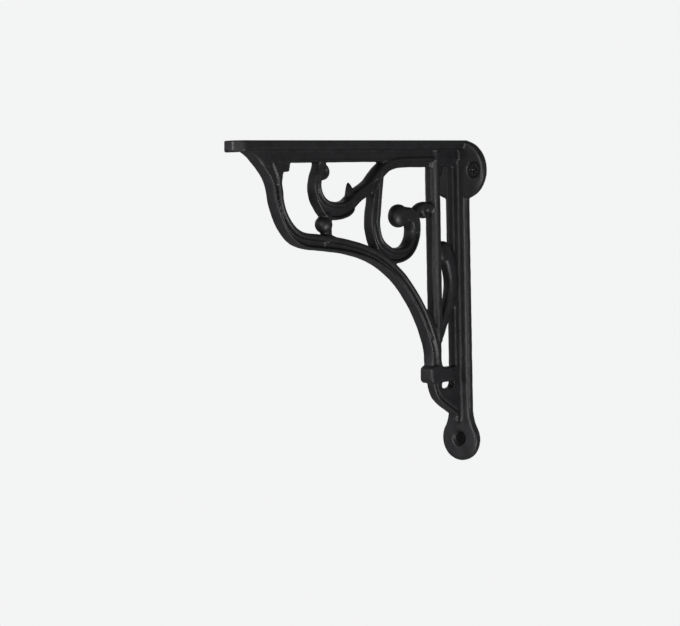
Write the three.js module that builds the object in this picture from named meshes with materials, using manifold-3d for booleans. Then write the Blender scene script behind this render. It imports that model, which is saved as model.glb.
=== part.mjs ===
// A cast-iron shelf bracket with scrollwork, held to a wall by countersunk screws.
// Millimetres, +Z up. The wall is the plane Y = 0 and the bracket reaches out towards -Y.
// The origin lies on the bracket's flat back, midway between its two upper screws.
import * as THREE from 'three';
import { mergeVertices } from 'three/addons/utils/BufferGeometryUtils.js';
import Module from 'manifold-3d';

// Overall size
const projection = 200; // wall to the rail's nose
const height = 200; // top of the rail to the bottom of the lower lug

// Shelf rail: a flat flange under the shelf with a narrower web below it
const railWidth = 16;
const railThickness = 5.4;
const railWebWidth = 7.6;
const railWebDepth = 7.6;
const noseThickness = 6.5; // the flange at its tip
const noseRun = 4.2; // length of the thick tip
const noseSlope = 9; // length over which the flange thickens
const noseFacet = 6.6; // width of the flat at the rail's tip
const noseChamfer = 4.7; // length of the rail's chamfered corners, along the rail
const bandDepth = 3.2; // the moulding under the web, from the wall to the upright

// Wall bar: a plate on the wall with a rib down its middle
const plateWidth = 17;
const plateThickness = 4.6;
const ribWidth = 5;
const ribDepth = 4.9;

// Head plate with the two ears
const earRadius = 18.2;
const earCentres = 8.8; // between the centres of the two round ends
const screwSpacing = 30;
const screwDrop = 18.3; // top of the rail to the middle of the upper screws

// Lower lug
const lugRadius = 13.8;
const lugThickness = 4.7;
const lugFlare = 11; // length over which the bar swells into the lug
const lugMeet = 36; // degrees above the level at which the flare meets the round lug

// Screws and their holes
const shankDiameter = 4.6;
const headDiameter = 9;
const headRim = 0.7; // the cylindrical edge above the cone
const screwSunk = 0.3; // the upper screws' heads below the plate's face
const lowerShank = 3.9; // the lower screw is smaller and sits deeper in its hole
const lowerHead = 6.8;
const screwClearance = 0.35;
const recessSpan = 5.2; // across the cross recess
const recessSlot = 1.1;
const recessDepth = 1.6;
const cutMargin = 1; // how far a cutter passes the faces that it cuts

// Inner upright: a flange with a narrower stem on its front
const slotWidth = 14.4; // clear distance between the rib and the upright
const uprightWidth = 9.8;
const uprightFlange = 3.9;
const stemWidth = 5;
const stemDepth = 1.9;
const uprightLength = 105; // rail's underside to the point where the brace takes the upright in
const footWidth = 7.4; // where brace and upright run together down to the collar

// Foot of the brace: the square collar, its link to the rib and the gusset below
const collarDrop = 138.5; // top of the rail to the top of the collar
const collarHeight = 10.4;
const collarWidth = 10;
const collarFront = 5.6; // how far it stands out past the upright's stem
const collarBack = 8.2; // how far it reaches back from the upright, towards the rib
const collarChamfer = 1.6;
const collarStep = 1.5; // how much lower its top lies behind the upright
const collarFillet = 4.6; // the hollow between the upright's back and the collar's top
const filletWidth = 7;
const linkWidth = 4.4;
const gussetReach = 2.4; // how far its front edge stands out past the upright's stem
const gussetRimWidth = 6.2;
const gussetRim = 2.6;
const gussetGroove = 1.4; // between the rim and the raised field
const grooveDepth = 0.6;
const gussetSwell = 0.49; // how high the bend of its front edge lies, as a share of the drop
const gussetDrop = 24.6; // collar's underside to the gusset's lower end
const ribTail = 2.5; // the rib below the gusset's lower end
const eyeletDepth = 4; // the gusset's opening, under the collar
const eyeletInset = 1.6; // its distance from the rib's front and from the upright's back
const eyeletCorner = 3;

// Scrollwork strokes: a thin web, a full bead on the outside and a lesser rim on the inside
const webWidth = 5.4;
const beadWidth = 7.4;
const beadDepth = 3.4;
const rimWidth = 6.6;
const rimDepth = 2.4;
const braceWebWidth = 4.6;
const braceBeadWidth = 8;
const braceBeadDepth = 4.6;
const thornWidth = 3.2;
const leafWidth = 7.2;
const neckWidth = 6;
const ballRadius = 7.3;
const beadBallRadius = 5.1;
const curlRadius = 4.3;
const scrollEndRadius = 5.1;

// How finely curves are divided
const strokeSteps = 3; // between two knots of a stroke
const roundSides = 32;
const ballSides = 18;

// The field that the scrollwork fills: out from the upright's stem to the nose, and down from the rail
// to the collar. Its knots are drawn on a sheet of drawnLength by drawnHeight and stretched to the field.
const drawnLength = 170.7;
const drawnHeight = 125.5;
const ribFront = plateThickness + ribDepth;
const uprightBack = ribFront + slotWidth;
const flangeFront = uprightBack + uprightFlange;
const stemFront = flangeFront + stemDepth;
const railDepth = railThickness + railWebDepth;
const outScale = (projection - stemFront) / drawnLength;
const downScale = (collarDrop - railDepth) / drawnHeight;
const collarBottom = -collarDrop - collarHeight;

// Each knot is [out, down, thickness], in order along the stroke.
const braceKnots = [
  [151.8, -9, 10], [143.6, -1.5, 10.2], [137.9, 6, 8.8], [135.3, 13.5, 7.6], [133.8, 22, 6.8],
  [130.6, 30, 6.8], [126, 36.6, 7.4], [119.8, 41.6, 8.4], [112, 44.3, 9.3], [100.7, 45.7, 9.5],
  [87.7, 47.3, 9.1], [73.7, 49.7, 8.6], [59, 53.5, 8.3], [46, 59, 8], [33.4, 66.9, 7.6],
  [23.6, 75.8, 7.4], [13.8, 87.6, 7.4], [7.2, 98.3, 7.4], [2.8, 107.6, 7.4], [0, 116.4, 7.8],
  [-1, 128, 8.2],
];
const scrollKnots = [
  [96.6, -4, 5], [99, 4, 4.6], [101.2, 9, 4.6], [102, 14, 5], [100.5, 19.5, 6.2],
  [97.2, 23.6, 7.6], [92.8, 26.8, 9.8], [86.7, 27.9, 10.2], [80.2, 27.5, 9.6], [74.2, 25.3, 9],
  [65.5, 19.4, 8.4], [55.3, 14.4, 8.6], [49, 9.2, 8.8], [43.4, 4.6, 8.2], [37, 1.6, 7],
  [28, 0.2, 6.4], [15, 0, 6.4], [-3, 0, 6.4],
];
const innerScrollKnots = [
  [48, 10, 5], [50, 18, 6.2], [51, 24, 6.6], [52.1, 30, 7], [52.7, 36, 6.8], [51.9, 42, 7],
  [49.3, 48, 7.2], [44.4, 52.6, 8.4], [38.2, 55.5, 8.8], [31.2, 56, 8.8], [24.3, 54.4, 7.8],
  [19.2, 50.1, 7.4], [16.3, 44, 7.4], [16.1, 38, 8], [18.3, 33.4, 8.8], [23, 31.6, 9.2],
];
const budKnots = [[47.6, 15, 1.6], [48.6, 21, 3.4], [48.6, 28, 3]];
const branchKnots = [
  [18, 33.5, 5], [14, 30.3, 5.2], [10, 27.8, 5.2], [5.7, 26.8, 5.2], [0.7, 27.6, 5.4], [-3, 29, 5.4],
];
const thornKnots = [[71.4, 21, 7.4], [72.3, 16.4, 4.2], [73.3, 11.7, 0.8]];
const hookKnots = [[127.4, -4, 9], [127.2, 2, 7.6], [125.6, 4.2, 3.4]];
const neckKnots = [[92.7, 29, 6.4], [92.3, 35.5, 6.2], [92.4, 43, 8]];
const ballPlace = [27.9, 32.3];
const beadBallPlace = [95, 35.5];
const curlPlace = [5.9, 30.2];
const scrollEndPlace = [97.6, 4.3];

// The leaf that fills the slot behind the upright: [share of the slot, out from the rib; down; thickness].
const leafKnots = [
  [0.5, 52, 5], [0.24, 57, 8], [0.06, 64, 8], [-0.04, 72, 7.4], [0, 81, 7], [0.24, 92, 6.6],
  [0.62, 101, 6], [1.1, 112, 5],
];
const leafHead = [0.56, 55.6];
const leafHeadRadius = 6.9;

const wasm = await Module();
wasm.setup();

function solidOf(geometry) {
  const bare = geometry.index ? geometry.toNonIndexed() : geometry.clone();
  for (const name of Object.keys(bare.attributes)) {
    if (name !== 'position') bare.deleteAttribute(name);
  }
  const merged = mergeVertices(bare, 1e-4);
  return new wasm.Manifold(new wasm.Mesh({
    numProp: 3,
    vertProperties: new Float32Array(merged.attributes.position.array),
    triVerts: new Uint32Array(merged.index.array),
  }));
}

function geometryOf(solid) {
  const mesh = solid.getMesh();
  const geometry = new THREE.BufferGeometry();
  geometry.setAttribute('position', new THREE.BufferAttribute(mesh.vertProperties, 3));
  geometry.setIndex(new THREE.BufferAttribute(mesh.triVerts, 1));
  return geometry;
}

function joined(solids) {
  return solids.reduce((whole, solid) => whole.add(solid));
}

// Places in the bracket's side view, as out from the wall and up from the rail's top
function inField([out, down]) {
  return new THREE.Vector2(stemFront + out * outScale, -railDepth - down * downScale);
}

function inSlot([share, down]) {
  return new THREE.Vector2(ribFront + share * slotWidth, -railDepth - down * downScale);
}

// A flat shape of the side view, as thick as width and centred on the bracket's middle plane
function sideSlab(shape, width) {
  const slab = new THREE.ExtrudeGeometry(shape, { depth: width, bevelEnabled: false, steps: 1 });
  slab.translate(0, 0, -width / 2);
  const axes = new THREE.Matrix4().makeBasis(
    new THREE.Vector3(0, -1, 0), new THREE.Vector3(0, 0, 1), new THREE.Vector3(-1, 0, 0));
  slab.applyMatrix4(axes);
  slab.translate(0, 0, screwDrop);
  return solidOf(slab);
}

// A flat shape of the front view, standing on the wall and as thick as depth
function wallSlab(shape, depth) {
  const settings = { depth, bevelEnabled: false, steps: 1, curveSegments: roundSides / 2 };
  const slab = new THREE.ExtrudeGeometry(shape, settings);
  const axes = new THREE.Matrix4().makeBasis(
    new THREE.Vector3(1, 0, 0), new THREE.Vector3(0, 0, 1), new THREE.Vector3(0, -1, 0));
  slab.applyMatrix4(axes);
  slab.translate(0, 0, screwDrop);
  return solidOf(slab);
}

// A box given by its width across, and its reach out from the wall and up from the rail's top
function bar(width, outLow, outHigh, upLow, upHigh) {
  const box = new THREE.BoxGeometry(width, outHigh - outLow, upHigh - upLow);
  box.translate(0, -(outLow + outHigh) / 2, (upLow + upHigh) / 2 + screwDrop);
  return solidOf(box);
}

function ball(place, radius) {
  const sphere = new THREE.SphereGeometry(radius, ballSides, ballSides / 2);
  sphere.translate(0, -place.x, place.y + screwDrop);
  return solidOf(sphere);
}

// A round disc lying in the side view
function disc(place, radius, width) {
  const shape = new THREE.Shape().absarc(place.x, place.y, radius, 0, 2 * Math.PI);
  return sideSlab(shape, width);
}

// The smooth centre line through a stroke's knots, with its thickness and its left-hand normal at each step
function strokeLine(knots, place) {
  const centres = new THREE.SplineCurve(knots.map(place));
  const widths = new THREE.SplineCurve(knots.map((knot, index) => new THREE.Vector2(index, knot[2])));
  const steps = (knots.length - 1) * strokeSteps;
  return Array.from({ length: steps + 1 }, (_, step) => {
    const centre = centres.getPoint(step / steps);
    const along = centres.getTangent(step / steps);
    const thickness = widths.getPoint(step / steps).y;
    return { centre, normal: new THREE.Vector2(-along.y, along.x), thickness };
  });
}

// The band of a stroke between two offsets from its centre line, each worked out from the thickness there
function band(line, left, right, width) {
  const edge = (offset) => line.map(({ centre, normal, thickness }) => (
    centre.clone().addScaledVector(normal, offset(thickness))));
  return sideSlab(new THREE.Shape([...edge(left), ...edge(right).reverse()]), width);
}

// A stroke with its web, and a bead along the side that beadSide names (1 is the left of its direction)
function stroke(knots, place, beadSide, widths) {
  const line = strokeLine(knots, place);
  const outer = (thickness) => (beadSide * thickness) / 2;
  const beadInner = (thickness) => beadSide * Math.max(thickness / 2 - widths.beadDepth, -thickness / 2);
  const rimInner = (thickness) => -beadSide * Math.max(thickness / 2 - widths.rimDepth, -thickness / 2);
  const inner = (thickness) => (-beadSide * thickness) / 2;
  return joined([
    band(line, outer, inner, widths.web),
    band(line, outer, beadInner, widths.bead),
    band(line, rimInner, inner, widths.rim),
  ]);
}

function plainStroke(knots, place, width) {
  return band(strokeLine(knots, place), (thickness) => thickness / 2, (thickness) => -thickness / 2, width);
}

// A solid turned about a horizontal line through the wall: points are [radius, out from the wall]
function turned(points, x, up) {
  const profile = points.map(([radius, out]) => new THREE.Vector2(radius, out));
  const lathe = new THREE.LatheGeometry(profile, roundSides);
  lathe.rotateX(Math.PI);
  lathe.translate(x, 0, up + screwDrop);
  return solidOf(lathe);
}

// The flange keeps the nose's thickness only at its tip: behind it, its underside is cut back.
function rail() {
  const half = railWidth / 2;
  const plan = new THREE.Shape([
    new THREE.Vector2(-half, 0), new THREE.Vector2(half, 0),
    new THREE.Vector2(half, projection - noseChamfer), new THREE.Vector2(noseFacet / 2, projection),
    new THREE.Vector2(-noseFacet / 2, projection), new THREE.Vector2(-half, projection - noseChamfer),
  ]);
  const flange = new THREE.ExtrudeGeometry(plan, { depth: noseThickness, bevelEnabled: false });
  flange.rotateX(Math.PI);
  flange.translate(0, 0, screwDrop);
  const tip = projection - noseRun;
  const under = new THREE.Shape([
    new THREE.Vector2(-cutMargin, -railThickness), new THREE.Vector2(tip - noseSlope, -railThickness),
    new THREE.Vector2(tip, -noseThickness), new THREE.Vector2(tip, -noseThickness - cutMargin),
    new THREE.Vector2(-cutMargin, -noseThickness - cutMargin),
  ]);
  const braceTop = inField(braceKnots[1]);
  return joined([
    solidOf(flange).subtract(sideSlab(under, railWidth + 2 * cutMargin)),
    bar(railWebWidth, 0, braceTop.x, -railDepth, -railThickness / 2),
    bar(rimWidth, 0, stemFront, -railDepth - bandDepth, -railThickness),
  ]);
}

function headPlate() {
  const outline = new THREE.Shape();
  outline.absarc(earCentres / 2, -earRadius, earRadius, -Math.PI / 2, Math.PI / 2);
  outline.absarc(-earCentres / 2, -earRadius, earRadius, Math.PI / 2, (3 * Math.PI) / 2);
  return wallSlab(outline, plateThickness);
}

function wallBar() {
  const lugCentre = -height + lugRadius;
  const plate = bar(plateWidth, 0, plateThickness, lugCentre + lugFlare, -earRadius);
  const ribBottom = collarBottom - gussetDrop - ribTail;
  const rib = bar(ribWidth, plateThickness / 2, ribFront, ribBottom, -railThickness);
  return joined([plate, rib]);
}

// The lug is a round plate that the bar swells into through a hollow curve on each side.
function lowerLug() {
  const centre = -height + lugRadius;
  const side = plateWidth / 2;
  const meet = THREE.MathUtils.degToRad(lugMeet);
  const meetX = lugRadius * Math.cos(meet);
  const meetUp = centre + lugRadius * Math.sin(meet);
  const outline = new THREE.Shape();
  outline.moveTo(side, meetUp + lugFlare);
  outline.quadraticCurveTo(side, (meetUp + meetUp + lugFlare) / 2, meetX, meetUp);
  outline.absarc(0, centre, lugRadius, meet, -Math.PI - meet, true);
  outline.quadraticCurveTo(-side, (meetUp + meetUp + lugFlare) / 2, -side, meetUp + lugFlare);
  return wallSlab(outline, lugThickness);
}

function upright() {
  const top = -railThickness;
  const bottom = -railDepth - uprightLength;
  return joined([
    bar(uprightWidth, uprightBack, flangeFront, bottom, top),
    bar(stemWidth, flangeFront - stemDepth, stemFront, bottom, top),
    bar(footWidth, uprightBack, stemFront, collarBottom, bottom + uprightWidth),
  ]);
}

// The collar steps down behind the upright, and a fillet fills the corner there. A narrower link joins it
// to the rib.
function collar() {
  const front = stemFront + collarFront;
  const back = uprightBack - collarBack;
  const top = -collarDrop;
  const backTop = top - collarStep;
  const outline = new THREE.Shape([
    new THREE.Vector2(back, backTop),
    new THREE.Vector2(back, collarBottom),
    new THREE.Vector2(front - collarChamfer, collarBottom),
    new THREE.Vector2(front, collarBottom + collarChamfer),
    new THREE.Vector2(front, top - collarChamfer),
    new THREE.Vector2(front - collarChamfer, top),
    new THREE.Vector2(uprightBack + collarStep, top),
    new THREE.Vector2(uprightBack, backTop),
  ]);
  const fillet = new THREE.Shape();
  fillet.moveTo(flangeFront, collarBottom);
  fillet.lineTo(flangeFront, backTop + collarFillet);
  fillet.lineTo(uprightBack, backTop + collarFillet);
  fillet.quadraticCurveTo(uprightBack, backTop, uprightBack - collarFillet, backTop);
  fillet.lineTo(uprightBack - collarFillet, collarBottom);
  return joined([
    sideSlab(outline, collarWidth),
    sideSlab(fillet, filletWidth),
    bar(linkWidth, plateThickness, back + collarChamfer, collarBottom, backTop),
  ]);
}

// The gusset is as thick as the rib. A rim follows its hollow front edge, with a groove behind it on either
// side, and a rounded opening lies under the collar.
function gusset() {
  const bottom = collarBottom - gussetDrop;
  const frontTop = new THREE.Vector2(stemFront + gussetReach, collarBottom + gussetRim);
  const frontEnd = new THREE.Vector2(plateThickness, bottom);
  const knee = new THREE.Vector2(frontTop.x, bottom + gussetDrop * gussetSwell);
  const edge = new THREE.QuadraticBezierCurve(frontTop, knee, frontEnd);
  const line = edge.getPoints(4 * strokeSteps).map((centre, step, points) => {
    const along = edge.getTangent(step / (points.length - 1));
    return { centre, normal: new THREE.Vector2(along.y, -along.x), thickness: gussetRim };
  });
  const inside = (inset) => [
    ...line.map(({ centre, normal }) => centre.clone().addScaledVector(normal, inset)),
    new THREE.Vector2(plateThickness / 2, frontTop.y),
  ];
  const eyeletBack = ribFront + eyeletInset;
  const eyeletFront = uprightBack - eyeletInset;
  const eyeletLow = collarBottom - eyeletDepth;
  const eyelet = new THREE.Shape();
  eyelet.moveTo(eyeletBack, collarBottom + cutMargin);
  eyelet.lineTo(eyeletBack, eyeletLow + eyeletCorner);
  eyelet.quadraticCurveTo(eyeletBack, eyeletLow, eyeletBack + eyeletCorner, eyeletLow);
  eyelet.lineTo(eyeletFront - eyeletCorner, eyeletLow);
  eyelet.quadraticCurveTo(eyeletFront, eyeletLow, eyeletFront, eyeletLow + eyeletCorner);
  eyelet.lineTo(eyeletFront, collarBottom + cutMargin);
  const core = sideSlab(new THREE.Shape(inside(gussetRim / 2)), ribWidth - 2 * grooveDepth);
  const field = sideSlab(new THREE.Shape(inside(gussetRim + gussetGroove)), ribWidth);
  return joined([
    core.add(field).subtract(sideSlab(eyelet, ribWidth + 2 * cutMargin)),
    band(line, () => 0, (thickness) => thickness, gussetRimWidth),
  ]);
}

function scrollwork() {
  const braceWidths = {
    web: braceWebWidth, bead: braceBeadWidth, rim: rimWidth,
    beadDepth: braceBeadDepth, rimDepth: rimDepth / 2,
  };
  const scrollWidths = { web: webWidth, bead: beadWidth, rim: rimWidth, beadDepth, rimDepth };
  return joined([
    stroke(braceKnots, inField, -1, braceWidths),
    stroke(scrollKnots, inField, -1, scrollWidths),
    stroke(innerScrollKnots, inField, -1, scrollWidths),
    plainStroke(budKnots, inField, webWidth),
    plainStroke(branchKnots, inField, webWidth),
    plainStroke(thornKnots, inField, thornWidth),
    plainStroke(hookKnots, inField, webWidth),
    plainStroke(neckKnots, inField, neckWidth),
    ball(inField(ballPlace), ballRadius),
    ball(inField(beadBallPlace), beadBallRadius),
    disc(inField(curlPlace), curlRadius, beadWidth),
    disc(inField(scrollEndPlace), scrollEndRadius, rimWidth),
    plainStroke(leafKnots, inSlot, leafWidth),
    disc(inSlot(leafHead), leafHeadRadius, leafWidth),
  ]);
}

// A countersunk hole right through a plate of the given thickness
function screwHole(x, up, thickness) {
  const shank = shankDiameter / 2 + screwClearance;
  const head = headDiameter / 2 + screwClearance;
  const cone = thickness - headRim - (head - shank);
  return turned([
    [0, -cutMargin], [shank, -cutMargin], [shank, cone], [head, thickness - headRim],
    [head, thickness + cutMargin], [0, thickness + cutMargin],
  ], x, up);
}

// A countersunk screw with a cross recess, its head's face at top, cut off where it enters the wall
function screw(x, up, shankWidth, headWidth, top) {
  const shank = shankWidth / 2;
  const head = headWidth / 2;
  const cone = top - headRim - (head - shank);
  const body = turned([
    [0, 0], [shank, 0], [shank, cone], [head, top - headRim], [head, top], [0, top],
  ], x, up);
  const share = headWidth / headDiameter;
  const slot = (width, tall) => {
    const box = new THREE.BoxGeometry(width * share, 2 * recessDepth * share, tall * share);
    box.translate(x, -top, up + screwDrop);
    return solidOf(box);
  };
  return body.subtract(slot(recessSpan, recessSlot)).subtract(slot(recessSlot, recessSpan));
}

// The smaller lower screw goes down into the same countersink until its cone fits there.
function lowerScrew() {
  const sunk = (headDiameter - lowerHead) / 2 + screwSunk;
  return screw(0, -height + lugRadius, lowerShank, lowerHead, lugThickness - sunk);
}

function casting() {
  const holes = [
    screwHole(-screwSpacing / 2, -screwDrop, plateThickness),
    screwHole(screwSpacing / 2, -screwDrop, plateThickness),
    screwHole(0, -height + lugRadius, lugThickness),
  ];
  const body = joined([
    rail(), headPlate(), wallBar(), lowerLug(), upright(), collar(), gusset(), scrollwork(),
  ]);
  return holes.reduce((whole, hole) => whole.subtract(hole), body);
}

const blackIron = new THREE.MeshStandardMaterial({ color: 0x1d1e22, roughness: 0.55, metalness: 0.35 });
const blackSteel = new THREE.MeshStandardMaterial({ color: 0x17171a, roughness: 0.4, metalness: 0.6 });

function piece(name, solid, material) {
  const mesh = new THREE.Mesh(geometryOf(solid), material);
  mesh.name = name;
  return mesh;
}

const group = new THREE.Group();
group.add(piece('bracket_casting', casting(), blackIron));
for (const [name, side] of [['upper_screw_right', 1], ['upper_screw_left', -1]]) {
  const x = (side * screwSpacing) / 2;
  const top = plateThickness - screwSunk;
  group.add(piece(name, screw(x, -screwDrop, shankDiameter, headDiameter, top), blackSteel));
}
group.add(piece('lower_screw', lowerScrew(), blackSteel));

export default group;
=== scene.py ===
import math

import bmesh
import bpy
import numpy as np
from mathutils import Matrix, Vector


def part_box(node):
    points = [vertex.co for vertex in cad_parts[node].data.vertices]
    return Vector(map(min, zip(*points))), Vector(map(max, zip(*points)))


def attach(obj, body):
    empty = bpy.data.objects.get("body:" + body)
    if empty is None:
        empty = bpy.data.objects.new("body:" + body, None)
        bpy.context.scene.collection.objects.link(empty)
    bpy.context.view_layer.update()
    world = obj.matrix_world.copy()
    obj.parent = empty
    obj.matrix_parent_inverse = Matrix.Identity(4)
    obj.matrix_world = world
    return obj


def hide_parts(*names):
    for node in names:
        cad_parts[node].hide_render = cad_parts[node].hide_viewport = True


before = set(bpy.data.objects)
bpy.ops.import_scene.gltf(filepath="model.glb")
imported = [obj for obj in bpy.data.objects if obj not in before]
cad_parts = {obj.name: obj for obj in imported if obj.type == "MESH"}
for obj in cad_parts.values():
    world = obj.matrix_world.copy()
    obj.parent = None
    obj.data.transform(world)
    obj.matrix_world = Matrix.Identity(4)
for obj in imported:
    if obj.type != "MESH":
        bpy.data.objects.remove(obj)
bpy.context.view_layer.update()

# A black cast-iron shelf bracket. Sizes are in millimetres: x runs across the bracket, out is the
# distance from its flat back, and up is the height over the rail's top, so everything hangs below zero.
mm = 0.001
castingLow, castingHigh = (np.array(corner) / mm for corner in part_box("bracket_casting"))
reach = -castingLow[1]                        # the flat back to the rail's nose
topUp = castingHigh[2]                        # the rail's top in the frame
drop = castingHigh[2] - castingLow[2]         # the rail's top to the lug's lowest point
screwNodes = ("upper_screw_right", "upper_screw_left", "lower_screw")
shells = []                                   # closed shells that are cast into one piece
poleGap = 0.03                                # radians from a ball's pole to its first ring
pinhole = 0.01                                # radius of the ring in the middle of a turned face


def inFrame(x, out, up):
    # Bracket millimetres to the frame's metres: (x, -out, up + topUp)
    x, out, up = np.broadcast_arrays(*(np.asarray(value, float) for value in (x, out, up)))
    return np.stack([x, -out, up + topUp], -1) * mm


def onWall(across, up, out):
    # A form drawn as seen from straight ahead, and carried out from the flat back
    return inFrame(across, out, up)


def inSide(out, up, x):
    # A form drawn as seen from the side, and carried across the bracket
    return inFrame(x, out, up)


def seatOf(node):
    # Where a screw's CAD solid sits: its middle across and up, its radius, and its head's face
    low, high = (np.array(corner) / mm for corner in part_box(node))
    middle = (low + high) / 2
    return dict(x=middle[0], up=middle[2] - topUp, radius=(high[0] - low[0]) / 2, face=-low[1])


def throughKnots(knots, perSpan=20):
    # The smooth curve through the knots: each span is the cubic whose slope at a knot is half the step
    # from the knot before to the knot after.
    knots = np.asarray(knots, float)
    padded = np.vstack([knots[:1], knots, knots[-1:]])
    t = np.linspace(0, 1, perSpan, endpoint=False)[None, :, None]
    a, b, c, d = (padded[i:len(knots) - 1 + i, None, :] for i in range(4))
    start, end = (c - a) / 2, (d - b) / 2
    curve = (2 * b - 2 * c + start + end) * t**3 + (3 * c - 3 * b - 2 * start - end) * t**2 + start * t + b
    return np.vstack([curve.reshape(-1, knots.shape[1]), knots[-1:]])


def evenly(line, step=0.5, fewest=5):
    # The same curve with its points an even step apart, and their distance from its start
    along = np.concatenate([[0], np.cumsum(np.linalg.norm(np.diff(line[:, :2], axis=0), axis=1))])
    even = np.linspace(0, along[-1], max(fewest, int(along[-1] / step) + 1))
    return np.stack([np.interp(even, along, column) for column in line.T], 1), even


def leftOf(line):
    # Unit normals on the left of a plane curve: its direction turned by a quarter
    way = np.gradient(line[:, :2], axis=0)
    way /= np.linalg.norm(way, axis=1, keepdims=True)
    return np.stack([-way[:, 1], way[:, 0]], 1)


def bend(start, corner, end, steps):
    # The curve (1-t)^2 start + 2t(1-t) corner + t^2 end, which cuts the corner from start to end
    t = np.linspace(0, 1, steps)[:, None]
    return (1 - t)**2 * start + 2 * t * (1 - t) * corner + t**2 * end


def ringShell(rings):
    # A closed shell from rows of points, each row a ring, with one flat face over either end
    rows, columns = rings.shape[:2]
    here = np.arange(rows - 1)[:, None] * columns + np.arange(columns)
    beside = np.arange(rows - 1)[:, None] * columns + (np.arange(columns) + 1) % columns
    sides = np.stack([here, beside, beside + columns, here + columns], -1).reshape(-1, 4)
    ends = np.stack([np.arange(columns)[::-1], np.arange(columns) + (rows - 1) * columns])
    return rings.reshape(-1, 3), sides, ends


def sideBar(line, thick, wide, squareness=2.8, domes=(0, 0), sides=36, blunt=0.985):
    # A bar carried along a path in the side view. Its section is |n / a|^p + |x / b|^p = 1, with a half
    # its thickness and b half its width at each point. A domed end shrinks it by sqrt(1 - s^2), where s
    # falls from blunt at the tip to 0 at the dome's depth.
    bare = np.ones(len(line))
    path, along = evenly(np.column_stack([line[:, :2], thick * bare, wide * bare]))
    normals = leftOf(path)
    size = np.ones(len(path))
    for dome, distance in zip(domes, (along, along[-1] - along)):
        if dome:
            size *= np.sqrt(1 - np.clip(1 - distance / dome, 0, blunt)**2)
    turn = np.linspace(0, 2 * math.pi, sides, endpoint=False)
    across = np.sign(np.cos(turn)) * np.abs(np.cos(turn))**(2 / squareness)
    aside = np.sign(np.sin(turn)) * np.abs(np.sin(turn))**(2 / squareness)
    offset = (path[:, 2] * size / 2)[:, None] * across
    x = (path[:, 3] * size / 2)[:, None] * aside
    out = path[:, 0, None] + normals[:, 0, None] * offset
    up = path[:, 1, None] + normals[:, 1, None] * offset
    shells.append(ringShell(inFrame(x, out, up)))


def softened(corners, radii, steps=7):
    # A closed outline with its corners rounded by a bend, whose ends lie one radius from the corner
    corners = np.asarray(corners, float)
    radii = np.broadcast_to(np.asarray(radii, float), len(corners))[:, None]
    before, after = np.roll(corners, 1, axis=0) - corners, np.roll(corners, -1, axis=0) - corners
    before = corners + before / np.linalg.norm(before, axis=1, keepdims=True) * radii
    after = corners + after / np.linalg.norm(after, axis=1, keepdims=True) * radii
    return bend(before[:, None], corners[:, None], after[:, None], steps).reshape(-1, 2)


def slabShell(outline, low, high, lowRim, highRim, place, steps=6, samePoint=1e-6, sharpest=0.3):
    # A slab over an outline, with rounded rims: towards a face the outline moves inwards along its own
    # mitred normals by r(1 - cos a) while it rises by r sin a.
    outline = outline[np.linalg.norm(outline - np.roll(outline, 1, axis=0), axis=1) > samePoint]
    after = np.roll(outline, -1, axis=0)
    area = np.sum(outline[:, 0] * after[:, 1] - outline[:, 1] * after[:, 0])
    outline = outline if area > 0 else outline[::-1]
    edge = np.roll(outline, -1, axis=0) - outline
    edge /= np.linalg.norm(edge, axis=1, keepdims=True)
    inward = np.stack([-edge[:, 1], edge[:, 0]], 1)
    behind = np.roll(inward, 1, axis=0)
    mitre = (inward + behind) / np.maximum(1 + np.sum(inward * behind, axis=1), sharpest)[:, None]
    turn = np.linspace(0, math.pi / 2, steps)
    inset = np.concatenate([lowRim * (1 - np.sin(turn)), highRim * (1 - np.cos(turn))])
    level = np.concatenate([low + lowRim * (1 - np.cos(turn)), high - highRim * (1 - np.sin(turn))])
    rings = outline[None] + mitre[None] * inset[:, None, None]
    return ringShell(place(rings[..., 0], rings[..., 1], level[:, None]))


def slab(*sizes):
    shells.append(slabShell(*sizes))


def sideSlab(outline, width, rim):
    slab(outline, -width / 2, width / 2, rim, rim, inSide)


def block(width, outs, ups, rim, mostRound=0.45):
    # A square bar seen from the side, with all its edges rounded
    corners = [(outs[0], ups[0]), (outs[1], ups[0]), (outs[1], ups[1]), (outs[0], ups[1])]
    sideSlab(softened(corners, min(rim, mostRound * (outs[1] - outs[0]))), width, rim)


def turnedAcross(profile, out, up, sides=44):
    # A profile of (radius, x) turned about a line across the bracket
    profile = np.asarray(profile, float)
    around = np.linspace(0, 2 * math.pi, sides, endpoint=False)
    shells.append(ringShell(inFrame(profile[:, 1, None], out + profile[:, :1] * np.cos(around),
                                    up + profile[:, :1] * np.sin(around))))


def ball(out, up, radius, squareness=2.0, halfWidth=None, steps=24):
    # |radius / r|^p + |x / h|^p = 1, turned across the bracket: p = 2 with h = r is a sphere
    turn = np.linspace(poleGap, math.pi - poleGap, steps)
    profile = np.column_stack([np.sin(turn), np.cos(turn)])
    profile = np.sign(profile) * np.abs(profile)**(2 / squareness)
    turnedAcross(profile * (radius, halfWidth or radius), out, up)


# The end of a curl: its rim starts at a share of its radius, and the steps of its dip are shares of
# (that radius, the eye's depth)
curlEnd = dict(rimShare=0.6, firstRing=0.05, dip=[(0.4, 0.85), (0.75, 0.3)], rimSteps=13)


def curl(out, up, radius, width, eye, s=curlEnd):
    # A disc with a rounded rim, whose faces dip towards the middle by eye
    half = width / 2
    rimAt = radius * s["rimShare"]
    turn = np.linspace(0, math.pi, s["rimSteps"])
    dip = [(rimAt * share, half - eye * depth) for share, depth in s["dip"]]
    face = np.array([(s["firstRing"], half - eye)] + dip)
    rim = np.column_stack([rimAt + (radius - rimAt) * np.sin(turn), half * np.cos(turn)])
    turnedAcross(np.vstack([face, rim, face[::-1] * (1, -1)]), out, up)


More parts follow.
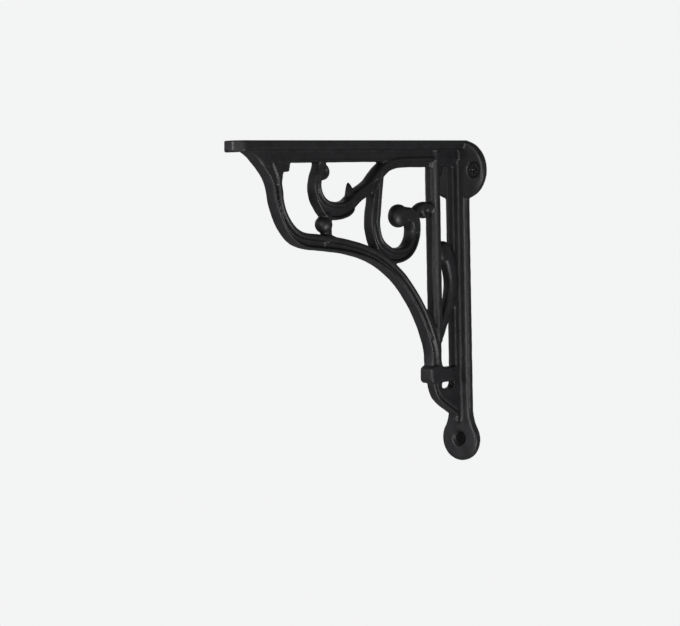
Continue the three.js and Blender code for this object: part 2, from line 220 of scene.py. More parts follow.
# The rail: a flange, thicker at its chamfered nose, a web below it with a lip, and a band to the upright
rail = dict(width=16, thick=5.4, noseThick=6.5, noseRun=4.2, noseRise=9, facet=6.6, chamfer=4.7, soft=0.3,
            topRim=0.5, lowRim=1.25, tipRound=0.6, depth=12.7, webWidth=7.0, webFront=172, webRim=0.6,
            lip=2.0, lipWidth=8.2, lipBack=60, lipFront=164, lipPower=2.4,
            bandUp=-13, bandDepth=6.2, bandWidth=6.8, bandPower=3.4,
            plainFrom=5, plainRings=8, noseStep=1, noseRings=50, tipRings=5, rampTop=40)


def railCasting(s):
    # The flange's section is carried out from the back. Its half width falls past the chamfer's start by
    # a softened ramp, slope * soft * log(1 + e^(d / soft)), and it thickens towards the nose.
    riseAt = reach - s["noseRun"] - s["noseRise"]
    lastOut = reach - s["tipRound"]
    quarter = np.sin(np.linspace(0, math.pi / 2, s["tipRings"]))
    outs = np.concatenate([[0], np.linspace(s["plainFrom"], riseAt, s["plainRings"]),
                           np.linspace(riseAt + s["noseStep"], lastOut, s["noseRings"]),
                           lastOut + s["tipRound"] * quarter])
    slope = (s["width"] - s["facet"]) / 2 / s["chamfer"]
    past = (outs - (reach - s["chamfer"])) / s["soft"]
    half = s["width"] / 2 - slope * s["soft"] * np.log1p(np.exp(np.minimum(past, s["rampTop"])))
    rise = np.clip((outs - riseAt) / s["noseRise"], 0, 1)
    thick = s["thick"] + (s["noseThick"] - s["thick"]) * rise
    run = np.clip(outs - lastOut, 0, s["tipRound"])
    tip = s["tipRound"] - np.sqrt(np.maximum(s["tipRound"]**2 - run**2, 0))
    radii = [s["topRim"], s["topRim"], s["lowRim"], s["lowRim"]]
    rings = []
    for out, wide, deep, inset in zip(outs, half - tip, thick, tip):
        corners = [(-wide, -inset / 2), (wide, -inset / 2), (wide, -deep + inset), (-wide, -deep + inset)]
        ring = softened(corners, radii)
        rings.append(inFrame(ring[:, 0], out, ring[:, 1]))
    shells.append(ringShell(np.array(rings)))
    block(s["webWidth"], (0, s["webFront"]), (-s["depth"], -s["thick"] / 2), s["webRim"])
    lipUp = -s["depth"] + s["lip"] / 2
    lip = np.array([(s["lipBack"], lipUp), (s["lipFront"], lipUp)])
    sideBar(lip, s["lip"], s["lipWidth"], s["lipPower"])
    band = np.array([(wallBar["ribFront"], s["bandUp"]), (upright["front"], s["bandUp"])])
    sideBar(band, s["bandDepth"], s["bandWidth"], s["bandPower"])


# The back bar: a plate with a rib down its middle, the head plate above and the lug below
wallBar = dict(plateWidth=17, plateThick=4.6, plateRim=2.3, plateTop=-20, backRim=0.2, lap=3,
               ribWidth=5, ribFront=9.5, ribRim=0.9, ribEnd=-175.6,
               headRadius=18.2, headCentres=8.8, headRim=1.7, headSteps=40,
               lugRadius=13.8, lugThick=4.7, lugRim=1.6, lugSteps=90, flare=11, flareSteps=16, meetAngle=36)


def wallCasting(s):
    lugUp = -drop + s["lugRadius"]
    side = s["plateWidth"] / 2
    meet = math.radians(s["meetAngle"])
    meetUp = lugUp + s["lugRadius"] * math.sin(meet)
    foot = meetUp + s["flare"] - s["lap"]
    corners = [(-side, foot), (side, foot), (side, s["plateTop"]), (-side, s["plateTop"])]
    slab(np.array(corners), 0, s["plateThick"], s["backRim"], s["plateRim"], onWall)
    block(s["ribWidth"], (s["plateThick"] / 2, s["ribFront"]), (s["ribEnd"], -rail["thick"]), s["ribRim"])
    half = np.linspace(-math.pi / 2, math.pi / 2, s["headSteps"])
    lobe = np.column_stack([s["headCentres"] / 2 + s["headRadius"] * np.cos(half),
                            s["headRadius"] * np.sin(half)])
    head = np.vstack([lobe, -lobe]) - (0, s["headRadius"])
    slab(head, 0, s["plateThick"], s["backRim"], s["headRim"], onWall)
    # The bar swells into the round lug through a hollow curve on each side
    flareTop = np.array([side, meetUp + s["flare"]])
    knee = np.array([side, meetUp + s["flare"] / 2])
    flareEnd = np.array([s["lugRadius"] * math.cos(meet), meetUp])
    hollow = bend(flareTop, knee, flareEnd, s["flareSteps"])
    sweep = np.linspace(meet, -math.pi - meet, s["lugSteps"])[1:-1]
    disc = np.column_stack([np.cos(sweep), np.sin(sweep)]) * s["lugRadius"] + (0, lugUp)
    lug = np.vstack([hollow, disc, hollow[::-1] * (-1, 1)])
    slab(lug, 0, s["lugThick"], s["backRim"], s["lugRim"], onWall)


# The inner upright: a flange with a narrower stem on its front, down to the square collar
upright = dict(back=23.9, flangeFront=27.8, front=29.7, width=9.8, rim=0.8, end=-124,
               stemWidth=5, stemLap=2, stemRim=0.7, footWidth=7.6, footTop=-114,
               collarTop=-138.5, collarHeight=10.4, collarWidth=10.2, collarOut=5.6, collarIn=8.2,
               collarRim=1.0, collarRound=0.7, collarChamfer=1.6, collarStep=1.5,
               fillet=4.6, filletSteps=12, filletFoot=2, filletRim=0.5, tieRim=0.5,
               joinTop=-122, joinFront=33, joinWidth=6.4)


def uprightCasting(s):
    top = -rail["thick"]
    low = s["collarTop"] - s["collarHeight"]
    backTop = s["collarTop"] - s["collarStep"]
    collarBack = s["back"] - s["collarIn"]
    front = s["front"] + s["collarOut"]
    bevel = s["collarChamfer"]
    block(s["width"], (s["back"], s["flangeFront"]), (s["end"], top), s["rim"])
    block(s["stemWidth"], (s["flangeFront"] - s["stemLap"], s["front"]), (s["end"], top), s["stemRim"])
    block(s["footWidth"], (s["back"], s["front"]), (low, s["footTop"]), s["rim"])
    block(s["joinWidth"], (s["back"], s["joinFront"]), (low, s["joinTop"]), s["rim"])
    corners = [(collarBack, backTop), (s["back"], backTop), (s["back"] + s["collarStep"], s["collarTop"]),
               (front - bevel, s["collarTop"]), (front, s["collarTop"] - bevel), (front, low + bevel),
               (front - bevel, low), (collarBack, low)]
    sideSlab(softened(corners, s["collarRound"]), s["collarWidth"], s["collarRim"])
    # The hollow between the upright's back and the collar's top
    filletTop, filletBack, filletLow = backTop + s["fillet"], s["back"] - s["fillet"], low + s["filletFoot"]
    points = np.array([(s["back"], filletTop), (s["back"], backTop), (filletBack, backTop)])
    hollow = bend(*points, s["filletSteps"])
    fillet = np.vstack([[(s["flangeFront"], filletTop)], hollow,
                        [(filletBack, filletLow), (s["flangeFront"], filletLow)]])
    sideSlab(fillet, s["footWidth"], s["filletRim"])
    # The tie from the collar to the back bar's plate
    block(wallBar["ribWidth"], (wallBar["plateThick"], collarBack + bevel), (low, backTop), s["tieRim"])


# The gusset under the collar: a rim along its hollow front edge, a groove, a raised field, an eyelet
gusset = dict(edge=[(32, -146.5), (31.4, -151), (30, -155), (27.6, -159), (24.4, -162), (20.5, -164.7),
                    (15.6, -167.6), (10.6, -170.6), (6.6, -173.2)],
              rim=2.8, rimWidth=6.4, rimPower=3, rimDome=3, coreWidth=3.8, groove=1.3, fieldRim=0.3, lap=1,
              eyelet=[(22.6, -148.9), (23, -153.2), (11.4, -153.6), (11.2, -148.9)],
              eyeletRounds=[0.5, 2.6, 4.2, 0.5])


def gussetCasting(s):
    edge = throughKnots(s["edge"])
    inward = -leftOf(edge)
    low = upright["collarTop"] - upright["collarHeight"] + s["lap"]
    back = wallBar["plateThick"] - s["lap"]
    for width, inset in ((s["coreWidth"], s["rim"] / 2), (wallBar["ribWidth"], s["rim"] + s["groove"])):
        line = (edge + inward * inset)[::-1]
        line = line[(line[:, 1] < low) & (line[:, 0] > wallBar["plateThick"])]
        outline = np.vstack([[(back, low), (back, line[0, 1])], line, [(line[-1, 0], low)]])
        sideSlab(outline, width, s["fieldRim"])
    rimLine = edge + inward * s["rim"] / 2
    sideBar(rimLine, s["rim"], s["rimWidth"], s["rimPower"], domes=(0, s["rimDome"]))


# The filled corners of the scrollwork, as outlines of (out, up): the brace's shoulder and brow under the
# nose, the crotch where the brace meets the upright, and the hook behind the shoulder
shoulder = dict(width=7.4, round=1.5, rim=0.5,
                outline=[(150, -6), (187, -6), (181.5, -9.6), (176, -14.2), (172.2, -18.6), (169.8, -23.5),
                         (162, -27), (160.8, -21), (159.8, -14), (156, -12), (150, -12)])
brow = dict(width=9, round=1.5, rim=1.2,
            outline=[(170, -5), (190, -5), (185.5, -7.7), (180.5, -10.6), (176, -14.6), (170, -16)])
crotch = dict(width=5.4, round=1.2, rim=0.5,
              outline=[(28, -113), (30.5, -108.5), (34.5, -103.8), (38.5, -101), (40.4, -103.6),
                       (36.5, -111), (33.5, -121), (28, -121)])
hook = dict(width=5.4, round=0.7, rim=0.5,
            outline=[(163, -8), (153.6, -8), (153.7, -15), (154.6, -18.2), (156.6, -16.6), (158.6, -17.2),
                     (161, -21), (164, -18)])

# Its strokes, as knots of (out, down, thickness) from the upright's front and the field's top. The brace
# and the two scrolls are moulded: widths run across the bracket and depths across the stroke. The scrolls
# are fuller than drawn, and the first one's rim ends part of the way along.
field = dict(top=-13, fuller=0.6, firstRimEnd=0.56)
moulded = dict(webShare=0.94, webPower=4, rimPower=3.2, rimTaper=9)
braceSection = dict(moulded, webWidth=3.4, beadWidth=9.2, beadDepth=4.0, beadPower=2.9,
                    rimWidth=8.2, rimDepth=2.1)
scrollSection = dict(moulded, webWidth=3.8, beadWidth=9.2, beadDepth=3.7, beadPower=2.4,
                     rimWidth=7.9, rimDepth=2.0)
brace = [(151.8, -9, 10), (143.6, -1.5, 10.2), (137.9, 6, 8.8), (135.3, 13.5, 7.6), (133.8, 22, 6.8),
         (130.6, 30, 6.8), (126, 36.6, 7.4), (119.8, 41.6, 8.4), (112, 44.3, 9.3), (100.7, 45.7, 9.5),
         (87.7, 47.3, 9.1), (73.7, 49.7, 8.6), (59, 53.5, 8.3), (46, 59, 8), (33.4, 66.9, 7.6),
         (23.6, 75.8, 7.4), (13.8, 87.6, 7.4), (7.2, 98.3, 7.4), (2.8, 107.6, 7.4), (0, 116.4, 7.8),
         (-1, 128, 8.2)]
firstScroll = [(97.4, -0.6, 4.8), (99, 4, 4.6), (101.2, 9, 4.6), (102, 14, 5), (100.5, 19.5, 6.2),
               (97.2, 23.6, 7.6), (92.8, 26.8, 9.8), (86.7, 27.9, 10.2), (80.2, 27.5, 9.6), (74.2, 25.3, 9),
               (65.5, 19.4, 8.4), (55.3, 14.4, 8.6), (49, 9.2, 8.8), (43.4, 4.6, 8.2), (37, 1.6, 7),
               (28, 0.2, 6.4), (15, 0, 6.4), (-3, 0, 6.4)]
secondScroll = [(46.6, 5, 4), (48, 10, 5), (50, 18, 6.2), (51, 24, 6.6), (52.1, 30, 7), (52.7, 36, 6.8),
                (51.9, 42, 7), (49.3, 48, 7.2), (44.4, 52.6, 8.4), (38.2, 55.5, 8.8), (31.2, 56, 8.8),
                (24.3, 54.4, 7.8), (19.2, 50.1, 7.4), (16.3, 44, 7.4), (16.1, 38, 8), (18.3, 33.4, 8.8),
                (23, 31.6, 9.2)]
branch = dict(width=6.4, power=2.6,
              knots=[(18, 33.5, 5), (14, 30.3, 5.2), (10, 27.8, 5.2), (5.7, 26.8, 5.2), (0.7, 27.6, 5.4),
                     (-3, 29, 5.4)])
bud = dict(width=5.6, power=2.2, knots=[(47.6, 15, 1.6), (48.6, 21, 3.4), (48.6, 28, 3)])
tube = dict(width=8.6, power=2.4,
            knots=[(15.9, 42, 7.8), (16.4, 37.6, 8.8), (18.6, 33.6, 9.6), (23, 31.8, 10), (27, 32, 10)])
neck = dict(width=5.6, power=2.8,
            knots=[(92.7, 29, 6.4), (92.3, 35.5, 5.2), (92.3, 40.4, 5.4), (92.9, 42.6, 8), (93.6, 44.6, 10)])
spur = dict(width=7.2, power=2.6, knots=[(88.6, 42.6, 2.2), (91.5, 44.8, 2.2), (95.6, 47.2, 2)])
thorn = dict(width=6.4, power=2.2, tipShare=0.16, tipDome=1,
             knots=[(71.2, 22, 9.4), (72, 17.4, 6.6), (72.8, 13.6, 3.4), (73.3, 11.3, 1)])
# The balls and the curls' ends stand at (out, up)
scrollBall = dict(out=58.6, up=-45.3, radius=7.1, squareness=2.3, halfWidth=5)
neckBall = dict(out=124.6, up=-48.5, radius=5.2)
branchCurl = dict(out=35.6, up=-43.2, radius=4.3, width=7.4, eye=1.6)
firstCurl = dict(out=126.2, up=-18, radius=5.2, width=7.8, eye=1.2)


def inField(knots):
    # A drawn knot (out, down, thickness) to (out from the back, up from the rail's top, thickness)
    line = throughKnots(knots)
    return np.column_stack([upright["front"] + line[:, 0], field["top"] - line[:, 1], line[:, 2]])


def moulding(line, s, rimEnd=1):
    # A stroke with a full bead along its outer edge, a thin web, and a lesser rim along its inner edge,
    # as far as rimEnd of its length. Outer is the right-hand side of its direction.
    normals = leftOf(line)
    half = line[:, 2] / 2
    sideBar(line, line[:, 2] * s["webShare"], s["webWidth"], s["webPower"])
    beadDepth = np.minimum(s["beadDepth"], line[:, 2])
    outer = line[:, :2] - normals * (half - beadDepth / 2)[:, None]
    sideBar(outer, beadDepth, s["beadWidth"], s["beadPower"])
    part = slice(int(rimEnd * len(line)))
    rimDepth = np.minimum(s["rimDepth"], line[:, 2])[part]
    inner = line[part, :2] + normals[part] * (half[part] - rimDepth / 2)[:, None]
    sideBar(inner, rimDepth, s["rimWidth"], s["rimPower"], domes=(0, s["rimTaper"] if rimEnd < 1 else 0))


def scrollCasting(s):
    fuller = (0, 0, s["fuller"])
    moulding(inField(brace), braceSection)
    moulding(inField(firstScroll) + fuller, scrollSection, s["firstRimEnd"])
    moulding(inField(secondScroll) + fuller, scrollSection)
    for corner in (shoulder, brow, crotch, hook):
        sideSlab(softened(corner["outline"], corner["round"]), corner["width"], corner["rim"])
    for stroke in (branch, bud, tube, neck, spur):
        line = inField(stroke["knots"])
        sideBar(line, line[:, 2], stroke["width"], stroke["power"])
    spike = inField(thorn["knots"])
    spikeWidth = thorn["width"] * np.linspace(1, thorn["tipShare"], len(spike))
    sideBar(spike, spike[:, 2], spikeWidth, thorn["power"], domes=(0, thorn["tipDome"]))
    ball(**scrollBall)
    ball(**neckBall)
    curl(**branchCurl)
    curl(**firstCurl)


# The leaf that fills the slot behind the upright: a round head and a tail of (out, up, thickness, width)
leaf = dict(head=(17.6, -68.7), headRadius=6.9, headWidth=7.4, headPower=0.55, headSteps=22, tailPower=2.9,
            tail=[(16.7, -66, 6, 6.4), (14, -71, 9.6, 7.4), (11.8, -78, 9.6, 7.6), (10.4, -86, 8.6, 7.6),
                  (11, -94, 8.2, 7.4), (14.2, -103, 7.8, 7), (19, -112, 6.8, 6.6), (25.3, -125, 5.4, 6)])


def leafCasting(s):
    # The head is turned across the bracket: its radius is r sin^p a where x is h cos a
    tail = throughKnots(s["tail"])
    sideBar(tail, tail[:, 2], tail[:, 3], s["tailPower"])
    turn = np.linspace(poleGap, math.pi - poleGap, s["headSteps"])
    radii = s["headRadius"] * np.sin(turn)**s["headPower"]
    turnedAcross(np.column_stack([radii, s["headWidth"] / 2 * np.cos(turn)]), *s["head"])


# Countersunk holes, one for each screw. The mouth widens by the lip a little over the plate's face.
holes = dict(shank=2.65, head=4.85, rim=0.7, past=3, lip=0.5, lipRise=0.15, mouth=0.6, sides=64)


def countersink(x, up, thick, s):
    # A profile of (radius, out) turned about a line square to the flat back
    cone = thick - s["rim"] - (s["head"] - s["shank"])
    profile = np.array([(pinhole, -s["past"]), (s["shank"], -s["past"]), (s["shank"], cone),
                        (s["head"], thick - s["rim"]), (s["head"] + s["lip"], thick + s["lipRise"]),
                        (s["head"] + s["mouth"], thick + s["past"]), (pinhole, thick + s["past"])])
    around = np.linspace(0, 2 * math.pi, s["sides"], endpoint=False)
    across, upward = profile[:, :1] * np.cos(around), profile[:, :1] * np.sin(around)
    return ringShell(onWall(x + across, up + upward, profile[:, 1, None]))


def meshPiece(name, parts):
    # One mesh from closed shells, with its faces turned outwards
    points, faces, first = [], [], 0
    for places, sides, ends in parts:
        points.append(places)
        faces += (sides + first).tolist() + (ends + first).tolist()
        first += len(places)
    mesh = bpy.data.meshes.new(name)
    mesh.from_pydata(np.concatenate(points), [], faces)
    shape = bmesh.new()
    shape.from_mesh(mesh)
    bmesh.ops.recalc_face_normals(shape, faces=shape.faces)
    shape.to_mesh(mesh)
    shape.free()
    piece = bpy.data.objects.new(name, mesh)
    bpy.context.scene.collection.objects.link(piece)
    return piece


def finished(piece):
    # The mesh with the piece's modifiers applied takes the place of the bare one
    graph = bpy.context.evaluated_depsgraph_get()
    mesh = bpy.data.meshes.new_from_object(piece.evaluated_get(graph))
    piece.modifiers.clear()
    piece.data = mesh
    return mesh


def remeshed(piece, voxel):
    # Overlapping shells become one skin of even small squares
    fine = piece.modifiers.new("voxels", "REMESH")
    fine.mode = "VOXEL"
    fine.voxel_size = voxel * mm
    finished(piece)


def shadedSmooth(mesh):
    mesh.polygons.foreach_set("use_smooth", np.ones(len(mesh.polygons), bool))


def perVertex(mesh, what):
    # One vector for each vertex, such as its place or its normal
    values = np.empty(len(mesh.vertices) * 3, np.float32)
    mesh.vertices.foreach_get(what, values)
    return values.reshape(-1, 3)


# The shells are fused and softened into one cast skin. Its relief is wave high, from (wavelength, share)
# pairs in directions drawn at random, and it stays plain within flat of the back and of the rail's top.
casting = dict(voxel=0.5, smoothing=4, smoothFactor=0.5, triangles=190000, flat=0.25, wave=0.07, seed=7,
               waves=((14, 1.0), (9, 0.8), (6, 0.55), (4, 0.4), (2.6, 0.28), (1.8, 0.2)), directions=4)


def castRelief(places, s):
    # Uneven cast skin: a sum of sine waves in turned directions, amplitude falling with wavelength
    rng = np.random.default_rng(s["seed"])
    height = np.zeros(len(places))
    for wavelength, amplitude in s["waves"]:
        for _ in range(s["directions"]):
            way = rng.normal(size=3)
            way /= np.linalg.norm(way)
            phase = rng.uniform(0, 2 * math.pi)
            wave = np.sin(2 * math.pi * (places / mm @ way) / wavelength + phase)
            height += amplitude * wave / s["directions"]
    return height * s["wave"] * mm


def relieved(mesh, s):
    # Each vertex moves along its normal by the relief, inside the CAD box
    places = perVertex(mesh, "co").astype(float)
    back = places[:, 1] > -s["flat"] * mm
    top = places[:, 2] > (topUp - s["flat"]) * mm
    height = castRelief(places, s)
    height[back | top] = 0
    places += perVertex(mesh, "normal") * height[:, None]
    low, high = (np.array(corner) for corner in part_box("bracket_casting"))
    mesh.vertices.foreach_set("co", np.clip(places, low, high).astype(np.float32).ravel())
    mesh.update()


def drilled(piece):
    # The screw holes and the gusset's eyelet, cut through the fused casting
    seats = [seatOf(node) for node in screwNodes]
    thick = [wallBar["plateThick"], wallBar["plateThick"], wallBar["lugThick"]]
    cutters = [countersink(seat["x"], seat["up"], deep, holes) for seat, deep in zip(seats, thick)]
    eyelet = softened(gusset["eyelet"], gusset["eyeletRounds"])
    across, rim = wallBar["ribWidth"], gusset["fieldRim"]
    cutters.append(slabShell(eyelet, -across, across, rim, rim, inSide))
    openings = meshPiece("openings", cutters)
    cut = piece.modifiers.new("holes", "BOOLEAN")
    cut.operation = "DIFFERENCE"
    cut.solver = "MANIFOLD"
    cut.object = openings
    finished(piece)
    bpy.data.objects.remove(openings)


def bracketPiece(s):
    railCasting(rail)
    wallCasting(wallBar)
    uprightCasting(upright)
    gussetCasting(gusset)
    scrollCasting(field)
    leafCasting(leaf)
    piece = meshPiece("bracketCasting", shells)
    print("shells", len(shells), "corners", len(piece.data.vertices))
    remeshed(piece, s["voxel"])
    print("first skin", len(piece.data.vertices))
    drilled(piece)
    remeshed(piece, s["voxel"])
    smooth = piece.modifiers.new("softened", "SMOOTH")
    smooth.factor = s["smoothFactor"]
    smooth.iterations = s["smoothing"]
    mesh = finished(piece)
    relieved(mesh, s)
    print("second skin", len(mesh.vertices))
    mesh.calc_loop_triangles()
    fewer = piece.modifiers.new("fewer", "DECIMATE")
    fewer.ratio = min(1, s["triangles"] / len(mesh.loop_triangles))
    mesh = finished(piece)
    shadedSmooth(mesh)
    print("casting", len(mesh.polygons), "faces")
    return piece


# A countersunk screw with a cross recess, cut off flat at the bracket's back. Its shank is a share of its
# head, and its recess is drawn for a head of radius fullHead and shrinks with it.
screw = dict(fullHead=4.5, shank=0.52, rim=0.7, dome=0.12, edge=0.25, edgeSteps=6, sides=144,
             firstRing=0.08, faceRings=52, recessReach=2.6, recessWidth=0.62, recessDepth=1.5,
             recessFade=0.55, wallAt=1.25, wallSpan=0.5)


def screwPiece(name, seat, s):
    # Rings from the head's middle outwards and then down its side. On the head each point is pressed in
    # by the recess: depth times a soft step on the distance to the nearer arm of the cross.
    head, face = seat["radius"], seat["face"]
    share = head / s["fullHead"]
    around = np.linspace(0, 2 * math.pi, s["sides"], endpoint=False)
    faceRadii = np.linspace(s["firstRing"], head - s["edge"], s["faceRings"])
    radii = np.concatenate([[pinhole], faceRadii])[:, None]
    across, upward = radii * np.cos(around), radii * np.sin(around)
    wide, far = s["recessWidth"] * share, s["recessReach"] * share
    arm = np.minimum(np.maximum(np.abs(across) / wide, np.abs(upward) / far),
                     np.maximum(np.abs(upward) / wide, np.abs(across) / far))
    step = np.clip((s["wallAt"] - arm) / s["wallSpan"], 0, 1)
    fade = 1 - s["recessFade"] * radii / far
    pressed = s["recessDepth"] * share * fade * step**2 * (3 - 2 * step)
    level = face - s["dome"] * (radii / head)**2 - pressed
    topRings = onWall(seat["x"] + across, seat["up"] + upward, level)
    turn = np.linspace(0, math.pi / 2, s["edgeSteps"])[:, None]
    rimRadii = head - s["edge"] * (1 - np.sin(turn))
    rimOut = face - s["dome"] - s["edge"] * (1 - np.cos(turn))
    shank = head * s["shank"]
    cone = face - s["rim"] - (head - shank)
    radii = np.vstack([rimRadii, [[head], [shank], [shank], [pinhole]]])
    outs = np.vstack([rimOut, [[face - s["rim"]], [cone], [0], [0]]])
    lowRings = onWall(seat["x"] + radii * np.cos(around), seat["up"] + radii * np.sin(around), outs)
    piece = meshPiece(name, [ringShell(np.concatenate([topRings, lowRings]))])
    shadedSmooth(piece.data)
    return piece


def shaderNode(tree, kind, **settings):
    node = tree.nodes.new(kind)
    for name, value in settings.items():
        setattr(node, name, value)
    return node


def setSpan(node, before, after):
    # A Map Range node takes the span before to the span after
    for socket, value in zip(("From Min", "From Max", "To Min", "To Max"), (*before, *after)):
        node.inputs[socket].default_value = value


# Paints: two near-blacks, a span of roughness, and the scales of the patches and of the grain
coat = dict(patchDetail=4, patchSpan=(0.3, 0.72), grainDetail=3, grainDepth=0.2)
ironPaint = dict(coat, dark=(0.0056, 0.0056, 0.0066), light=(0.0112, 0.0113, 0.0128), rough=(0.4, 0.52),
                 specular=0.38, grain=1500, patch=140, bump=0.25)
screwPaint = dict(coat, dark=(0.006, 0.006, 0.0065), light=(0.012, 0.012, 0.013), rough=(0.32, 0.44),
                  specular=0.2, grain=2200, patch=400, bump=0.12)
# The lower screw's paint is the screw paint made darker and less glossy: painted shade for a screw sunk deep
# in the lug's hole.
screwShadePaint = dict(coat, dark=(0.003, 0.003, 0.0034), light=(0.006, 0.006, 0.0064), rough=(0.4, 0.5),
                 specular=0.06, grain=2200, patch=400, bump=0.12)


def paint(name, s):
    # Black paint over metal: tone and roughness follow soft patches, and a fine grain goes to the bump
    material = bpy.data.materials.new(name)
    material.use_nodes = True
    tree = material.node_tree
    tree.nodes.clear()
    output = shaderNode(tree, "ShaderNodeOutputMaterial")
    shader = shaderNode(tree, "ShaderNodeBsdfPrincipled")
    where = shaderNode(tree, "ShaderNodeTexCoord")
    patches = shaderNode(tree, "ShaderNodeTexNoise")
    grain = shaderNode(tree, "ShaderNodeTexNoise")
    tone = shaderNode(tree, "ShaderNodeValToRGB")
    rough = shaderNode(tree, "ShaderNodeMapRange")
    bump = shaderNode(tree, "ShaderNodeBump")
    link = tree.links.new
    shader.inputs["Specular IOR Level"].default_value = s["specular"]
    shader.inputs["Metallic"].default_value = 0.0
    patches.inputs["Scale"].default_value = s["patch"]
    patches.inputs["Detail"].default_value = s["patchDetail"]
    grain.inputs["Scale"].default_value = s["grain"]
    grain.inputs["Detail"].default_value = s["grainDetail"]
    for stop, position, colour in zip(tone.color_ramp.elements, s["patchSpan"], (s["dark"], s["light"])):
        stop.position = position
        stop.color = (*colour, 1)
    setSpan(rough, (0, 1), s["rough"])
    bump.inputs["Strength"].default_value = s["bump"]
    bump.inputs["Distance"].default_value = s["grainDepth"] * mm
    for noise in (patches, grain):
        link(where.outputs["Object"], noise.inputs["Vector"])
    link(patches.outputs["Fac"], tone.inputs["Fac"])
    link(patches.outputs["Fac"], rough.inputs["Value"])
    link(tone.outputs["Color"], shader.inputs["Base Color"])
    link(rough.outputs["Result"], shader.inputs["Roughness"])
    link(grain.outputs["Fac"], bump.inputs["Height"])
    link(bump.outputs["Normal"], shader.inputs["Normal"])
    link(shader.outputs["BSDF"], output.inputs["Surface"])
    return material


def placed(name, data, right, upward, back, place):
    # An object whose own axes are right, upward and back, at a place in the frame
    thing = bpy.data.objects.new(name, data)
    turn = np.eye(4)
    turn[:3] = np.stack([right, upward, back, place], 1)
    thing.matrix_world = Matrix(turn.tolist())
    bpy.context.scene.collection.objects.link(thing)
    return thing


# The camera stands where the photograph was taken from: angles in degrees, distances in millimetres
view = dict(azimuth=42.683, pitch=3.709, roll=1.225, distance=1211.977, aim=(0, 80, -100),
            right=21.738, up=2.644, focalPixels=2030, pictureWidth=680, farthest=100000)


def photoCamera(s):
    a, p, r = (math.radians(s[angle]) for angle in ("azimuth", "pitch", "roll"))
    forward = np.array([-math.sin(a) * math.cos(p), math.cos(a) * math.cos(p), -math.sin(p)])
    level = np.array([math.cos(a), math.sin(a), 0])
    upward = np.cross(level, forward)
    right = level * math.cos(r) - upward * math.sin(r)
    upward = level * math.sin(r) + upward * math.cos(r)
    place = inFrame(*s["aim"]) - (forward * s["distance"] + right * s["right"] + upward * s["up"]) * mm
    data = bpy.data.cameras.new("photoCamera")
    data.lens = data.sensor_width * s["focalPixels"] / s["pictureWidth"]
    data.clip_end = s["farthest"] * mm
    bpy.context.scene.camera = placed("photoCamera", data, right, upward, -forward, place)


# Studio: directions are angles in degrees, azimuth from straight ahead of the bracket towards +x. The
# spans are of a direction's x and of its rise, between which the light of the surroundings changes.
studio = dict(floorUp=-1100, floorRadius=40000, floorSides=128, floorTone=0.6, backdrop=(0.9, 0.903, 0.908),
              shine=(0.98, 0.985, 1), bright=0.72, dim=0.27, overhead=0.08,
              sideSpan=(-0.35, 0.45), riseSpan=(0.2, 0.75), target=(0, 90, -95),
              key=dict(azimuth=2, elevation=8, distance=1500, size=(420, 520), power=17),
              side=dict(azimuth=25, elevation=2, distance=1600, size=(200, 400), power=2.2),
              under=dict(azimuth=80, elevation=-28, distance=1500, size=(520, 360), power=17))


def softLight(name, s, target):
    a, e = math.radians(s["azimuth"]), math.radians(s["elevation"])
    back = np.array([math.sin(a) * math.cos(e), -math.cos(a) * math.cos(e), math.sin(e)])
    right = np.cross((0, 0, 1), back)
    right /= np.linalg.norm(right)
    data = bpy.data.lights.new(name, "AREA")
    data.shape = "RECTANGLE"
    data.size, data.size_y = (side * mm for side in s["size"])
    data.energy = s["power"]
    placed(name, data, right, np.cross(back, right), back, inFrame(*target) + back * s["distance"] * mm)


def seenApart(tree, lit, seen):
    # One shader for the light that a surface gives, and another for how the camera sees it
    rays = shaderNode(tree, "ShaderNodeLightPath")
    either = shaderNode(tree, "ShaderNodeMixShader")
    tree.links.new(rays.outputs["Is Camera Ray"], either.inputs["Fac"])
    tree.links.new(lit, either.inputs[1])
    tree.links.new(seen, either.inputs[2])
    return either.outputs["Shader"]


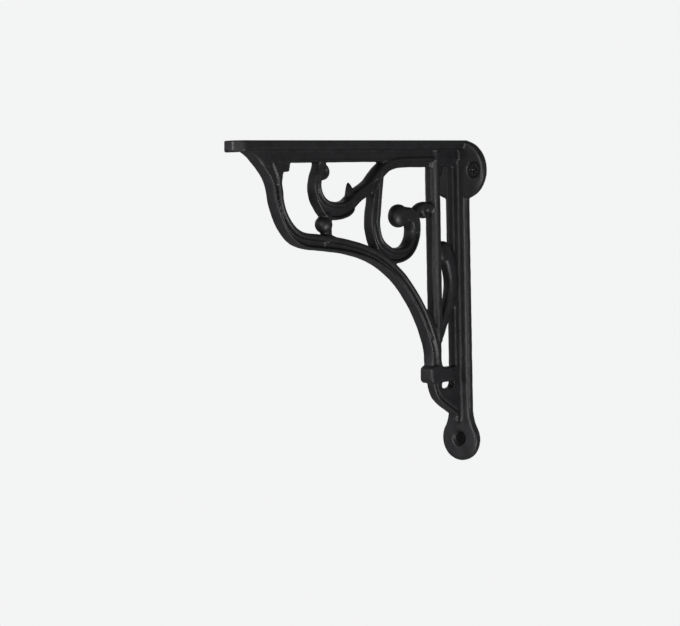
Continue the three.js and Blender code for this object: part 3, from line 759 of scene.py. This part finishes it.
def studioWorld(s):
    # An even pale backdrop to look at. The light it gives comes from the -x side and low down:
    # bright + (dim - bright) * step(x), then on to the overhead tone as the direction rises.
    world = bpy.data.worlds.new("studio")
    world.use_nodes = True
    tree = world.node_tree
    tree.nodes.clear()
    link = tree.links.new
    where = shaderNode(tree, "ShaderNodeTexCoord")
    axes = shaderNode(tree, "ShaderNodeSeparateXYZ")
    side = shaderNode(tree, "ShaderNodeMapRange", interpolation_type="SMOOTHSTEP")
    rise = shaderNode(tree, "ShaderNodeMapRange", interpolation_type="SMOOTHSTEP")
    mixed = shaderNode(tree, "ShaderNodeMix", data_type="FLOAT")
    shine = shaderNode(tree, "ShaderNodeBackground")
    backdrop = shaderNode(tree, "ShaderNodeBackground")
    output = shaderNode(tree, "ShaderNodeOutputWorld")
    setSpan(side, s["sideSpan"], (s["bright"], s["dim"]))
    setSpan(rise, s["riseSpan"], (0, 1))
    mixed.inputs["B"].default_value = s["overhead"]
    shine.inputs["Color"].default_value = (*s["shine"], 1)
    backdrop.inputs["Color"].default_value = (*s["backdrop"], 1)
    link(where.outputs["Generated"], axes.inputs["Vector"])
    link(axes.outputs["X"], side.inputs["Value"])
    link(axes.outputs["Z"], rise.inputs["Value"])
    link(rise.outputs["Result"], mixed.inputs["Factor"])
    link(side.outputs["Result"], mixed.inputs["A"])
    link(mixed.outputs["Result"], shine.inputs["Strength"])
    around = seenApart(tree, shine.outputs["Background"], backdrop.outputs["Background"])
    link(around, output.inputs["Surface"])
    bpy.context.scene.world = world


def studioFloor(s):
    # A wide matt disc that the camera sees in the backdrop's own even tone
    around = np.linspace(0, 2 * math.pi, s["floorSides"], endpoint=False)
    mesh = bpy.data.meshes.new("studioFloor")
    corners = inFrame(s["floorRadius"] * np.cos(around), s["floorRadius"] * np.sin(around), s["floorUp"])
    mesh.from_pydata(corners, [], [list(range(len(around)))[::-1]])
    floor = bpy.data.objects.new("studioFloor", mesh)
    bpy.context.scene.collection.objects.link(floor)
    matt = bpy.data.materials.new("floorMatt")
    matt.use_nodes = True
    tree = matt.node_tree
    shader = tree.nodes["Principled BSDF"]
    shader.inputs["Base Color"].default_value = (s["floorTone"],) * 3 + (1,)
    shader.inputs["Roughness"].default_value = 1
    shader.inputs["Specular IOR Level"].default_value = 0
    glow = shaderNode(tree, "ShaderNodeEmission")
    glow.inputs["Color"].default_value = (*s["backdrop"], 1)
    look = seenApart(tree, shader.outputs["BSDF"], glow.outputs["Emission"])
    tree.links.new(look, tree.nodes["Material Output"].inputs["Surface"])
    mesh.materials.append(matt)


def studioAround(s):
    studioFloor(s)
    studioWorld(s)
    for light in ("key", "side", "under"):
        softLight(light, s[light], s["target"])
    bpy.context.scene.view_settings.view_transform = "Standard"


photoCamera(view)
bracket = bracketPiece(casting)
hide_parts("bracket_casting")
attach(bracket, "root")
bracket.data.materials.clear()
bracket.data.materials.append(paint("blackIronPaint", ironPaint))

screwFinish = paint("blackScrew", screwPaint)
screwShadeFinish = paint("screwPaintedShade", screwShadePaint)
for node in screwNodes:
    driven = screwPiece(node + "Fine", seatOf(node), screw)
    # The lower screw gets the darker, duller copy of the screw paint, which is painted shade for its place
    # deep in the hole.
    driven.data.materials.append(screwShadeFinish if node == "lower_screw" else screwFinish)
    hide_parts(node)
    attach(driven, "root")
print("screws made")

studioAround(studio)
print("studio set")
